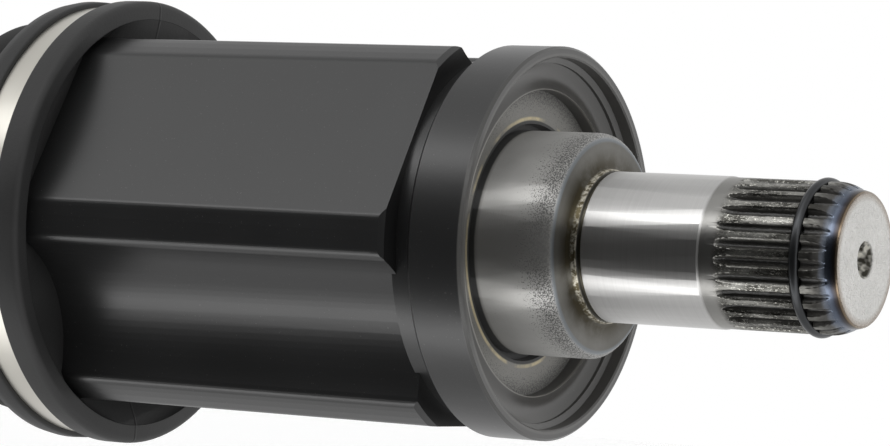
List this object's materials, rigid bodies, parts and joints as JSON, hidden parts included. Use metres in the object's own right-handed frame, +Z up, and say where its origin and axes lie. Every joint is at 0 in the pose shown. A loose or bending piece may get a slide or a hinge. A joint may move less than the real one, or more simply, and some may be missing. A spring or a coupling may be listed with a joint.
{
  "type": "drive shaft",
  "caption": "Front-wheel drive shaft: splined gearbox stub, lobed tripod plunge joint with boot, solid bar and a fixed ball joint with a stub axle.",
  "frame": {"origin": "middle of the ground seat on the gearbox stub, on the shaft's axis", "axes": "+X along the shaft towards the gearbox, +Z up, one housing lobe pointing straight down"},
  "size_m": [0.6384, 0.0932, 0.0932],
  "materials": {
    "housing_paint": "satin black paint on forged steel, bare ground steel on the seat and boss",
    "spring_steel_black": "black phosphate",
    "ring_paint": "satin black paint",
    "boot_insert": "matte moulded",
    "boot_rubber": "matte moulded",
    "band_steel": "plain stainless strip",
    "spring_steel": "oiled",
    "bearing_steel": "ground and greased",
    "shaft_paint": "satin black paint",
    "bell_paint": "satin black paint",
    "nut_zinc": "zinc plated"
  },
  "bodies": {
    "gearbox_end": {"inner_housing": "housing_paint", "stub_circlip": "spring_steel_black", "dust_ring": "ring_paint", "boot_adaptor": "boot_insert", "inner_boot": "boot_rubber", "inner_boot_large_clamp": "band_steel", "thrust_spring": "spring_steel"},
    "thrust_cap": {"thrust_cap": "bearing_steel"},
    "lower_needles": {"needles_1": "bearing_steel"},
    "shaft_bar": {"bar": "shaft_paint", "spider": "bearing_steel", "spider_circlip": "spring_steel_black", "needles_2": "bearing_steel", "needles_3": "bearing_steel", "roller_clip_1": "spring_steel_black", "roller_clip_2": "spring_steel_black", "roller_clip_3": "spring_steel_black", "inner_boot_small_clamp": "band_steel", "inner_race": "bearing_steel", "inner_race_circlip": "spring_steel_black", "outer_boot": "boot_rubber", "outer_boot_small_clamp": "band_steel"},
    "roller_1": {"roller_1": "bearing_steel"},
    "roller_2": {"roller_2": "bearing_steel"},
    "roller_3": {"roller_3": "bearing_steel"},
    "upper_ball": {"ball_top": "bearing_steel"},
    "ball_cage": {"cage": "bearing_steel", "side_balls": "bearing_steel"},
    "lower_ball": {"ball_bottom": "bearing_steel"},
    "wheel_end": {"outer_race": "bell_paint", "outer_boot_large_clamp": "band_steel", "axle_nut": "nut_zinc"}
  },
  "joints": [
    {"name": "plunge", "type": "slide", "parent": "gearbox_end", "child": "thrust_cap", "axis": [1, 0, 0], "range_m": [-0.011, 0.011], "deforming": ["inner_boot", "thrust_spring"]},
    {"name": "inner_tilt_up", "type": "hinge", "parent": "thrust_cap", "child": "lower_needles", "pos_m": [-0.11, 0, 0], "axis": [0, 1, 0], "range_deg": [-12, 12], "deforming": ["inner_boot"]},
    {"name": "inner_tilt_side", "type": "hinge", "parent": "lower_needles", "child": "shaft_bar", "pos_m": [-0.11, 0, 0], "axis": [0, 0, 1], "range_deg": [-12, 12], "deforming": ["inner_boot"]},
    {"name": "roller_1_roll", "type": "hinge", "parent": "shaft_bar", "child": "roller_1", "pos_m": [-0.11, 0, 0], "axis": [0, 0, -1], "range_deg": [-45, 45]},
    {"name": "roller_2_roll", "type": "hinge", "parent": "shaft_bar", "child": "roller_2", "pos_m": [-0.11, 0, 0], "axis": [0, 0.866, 0.5], "range_deg": [-45, 45]},
    {"name": "roller_3_roll", "type": "hinge", "parent": "shaft_bar", "child": "roller_3", "pos_m": [-0.11, 0, 0], "axis": [0, -0.866, 0.5], "range_deg": [-45, 45]},
    {"name": "outer_tilt_up", "type": "hinge", "parent": "shaft_bar", "child": "upper_ball", "pos_m": [-0.455, 0, 0], "axis": [0, 1, 0], "range_deg": [-15, 15], "deforming": ["outer_boot"]},
    {"name": "outer_tilt_side", "type": "hinge", "parent": "upper_ball", "child": "ball_cage", "pos_m": [-0.455, 0, 0], "axis": [0, 0, 1], "range_deg": [-15, 15], "deforming": ["outer_boot"]},
    {"name": "outer_tilt_side_second", "type": "hinge", "parent": "ball_cage", "child": "lower_ball", "pos_m": [-0.455, 0, 0], "axis": [0, 0, 1], "range_deg": [-15, 15], "deforming": ["outer_boot"]},
    {"name": "outer_tilt_up_second", "type": "hinge", "parent": "lower_ball", "child": "wheel_end", "pos_m": [-0.455, 0, 0], "axis": [0, 1, 0], "range_deg": [-15, 15], "deforming": ["outer_boot"]}
  ],
  "couplings": [
    {"joint": "roller_1_roll", "follows": "plunge", "rad_per_m": -62.5},
    {"joint": "roller_2_roll", "follows": "plunge", "rad_per_m": -62.5},
    {"joint": "roller_3_roll", "follows": "plunge", "rad_per_m": -62.5},
    {"joint": "outer_tilt_side_second", "follows": "outer_tilt_side", "ratio": 1},
    {"joint": "outer_tilt_up_second", "follows": "outer_tilt_up", "ratio": 1}
  ]
}
